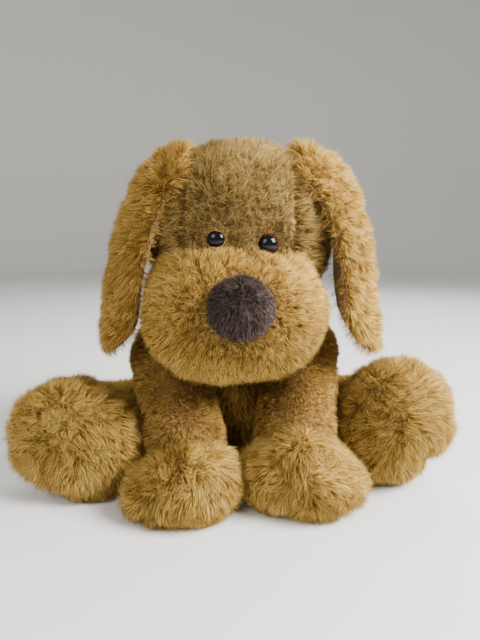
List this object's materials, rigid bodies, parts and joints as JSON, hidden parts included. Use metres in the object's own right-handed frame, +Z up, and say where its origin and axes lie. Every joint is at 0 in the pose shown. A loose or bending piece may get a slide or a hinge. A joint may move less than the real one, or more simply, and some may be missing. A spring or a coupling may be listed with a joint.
{
  "type": "plush dog",
  "caption": "Sitting plush dog with drooping ears, a round muzzle, a stuffed nose and four soft legs that turn where they are sewn on.",
  "frame": {"origin": "on the flat seat panel, straight below the neck, on the plane the dog sits on", "axes": "+Z up, the dog faces -Y, +X is to the right of someone facing the dog"},
  "size_m": [0.3031, 0.2344, 0.2363],
  "materials": {
    "tan_plush": "golden tan long-pile plush",
    "forehead_plush": "short curly brown plush with light tips",
    "leg_plush": "short smooth tan plush",
    "nose_plush": "short dark brown plush",
    "ear_lining": "smooth grey-brown cloth",
    "stuffing": "white polyester fibre",
    "pouch_cloth": "plain woven cloth",
    "gloss_black": "polished black with a red-brown rim",
    "washer_plastic": "moulded white plastic"
  },
  "bodies": {
    "torso": {"body_front": "tan_plush", "body_back_left": "tan_plush", "body_back_right": "tan_plush", "seat_panel": "tan_plush", "body_stuffing": "stuffing", "bean_pouch": "pouch_cloth"},
    "head": {"head_stuffing": "stuffing", "forehead_gusset": "forehead_plush", "head_side_left": "tan_plush", "head_side_right": "tan_plush", "muzzle_left": "tan_plush", "muzzle_right": "tan_plush", "nose_cover": "nose_plush", "nose_stuffing": "stuffing", "eye_left": "gloss_black", "eye_right": "gloss_black", "eye_washer_left": "washer_plastic", "eye_washer_right": "washer_plastic"},
    "ear_left": {"ear_front_left": "tan_plush", "ear_lining_left": "ear_lining"},
    "ear_right": {"ear_front_right": "tan_plush", "ear_lining_right": "ear_lining"},
    "front_leg_left": {"front_leg_left_front": "leg_plush", "front_leg_left_back": "leg_plush", "front_leg_left_stuffing": "stuffing", "front_paw_left_upper": "tan_plush", "front_paw_left_sole": "tan_plush", "front_paw_left_stuffing": "stuffing"},
    "front_leg_right": {"front_leg_right_front": "leg_plush", "front_leg_right_back": "leg_plush", "front_leg_right_stuffing": "stuffing", "front_paw_right_upper": "tan_plush", "front_paw_right_sole": "tan_plush", "front_paw_right_stuffing": "stuffing"},
    "hind_leg_left": {"hind_leg_left_top": "tan_plush", "hind_leg_left_under": "tan_plush", "hind_leg_left_stuffing": "stuffing", "hind_foot_left_upper": "tan_plush", "hind_foot_left_sole": "tan_plush", "hind_foot_left_stuffing": "stuffing"},
    "hind_leg_right": {"hind_leg_right_top": "tan_plush", "hind_leg_right_under": "tan_plush", "hind_leg_right_stuffing": "stuffing", "hind_foot_right_upper": "tan_plush", "hind_foot_right_sole": "tan_plush", "hind_foot_right_stuffing": "stuffing"},
    "tail": {"tail_cover_left": "tan_plush", "tail_cover_right": "tan_plush", "tail_stuffing": "stuffing"}
  },
  "joints": [
    {"name": "head_turn", "type": "hinge", "parent": "torso", "child": "head", "pos_m": [0, 0, 0.119], "axis": [0, 0, 1], "range_deg": [-7, 7], "stiffness_Nm_per_rad": 0.12},
    {"name": "ear_left_lift", "type": "hinge", "parent": "head", "child": "ear_left", "pos_m": [-0.035, -0.045, 0.2235], "axis": [0, 0.8944, 0.4472], "range_deg": [0, 45]},
    {"name": "ear_right_lift", "type": "hinge", "parent": "head", "child": "ear_right", "pos_m": [0.0365, -0.045, 0.222], "axis": [0, -0.8821, -0.4711], "range_deg": [0, 45]},
    {"name": "front_leg_left_raise", "type": "hinge", "parent": "torso", "child": "front_leg_left", "pos_m": [-0.056, -0.014, 0.092], "axis": [-1, 0, 0], "range_deg": [0, 12], "stiffness_Nm_per_rad": 0.1},
    {"name": "front_leg_right_raise", "type": "hinge", "parent": "torso", "child": "front_leg_right", "pos_m": [0.048, -0.011, 0.093], "axis": [-1, 0, 0], "range_deg": [0, 12], "stiffness_Nm_per_rad": 0.1},
    {"name": "hind_leg_left_raise", "type": "hinge", "parent": "torso", "child": "hind_leg_left", "pos_m": [-0.071, 0.016, 0.032], "axis": [-0.7401, 0.5801, -0.3401], "range_deg": [-5, 16], "stiffness_Nm_per_rad": 0.1},
    {"name": "hind_leg_right_raise", "type": "hinge", "parent": "torso", "child": "hind_leg_right", "pos_m": [0.071, 0.016, 0.032], "axis": [-0.6991, -0.6292, 0.3396], "range_deg": [-5, 16], "stiffness_Nm_per_rad": 0.1},
    {"name": "tail_wag", "type": "hinge", "parent": "torso", "child": "tail", "pos_m": [0, 0.089, 0.022], "axis": [0, 0, 1], "range_deg": [-18, 18], "stiffness_Nm_per_rad": 0.02}
  ]
}
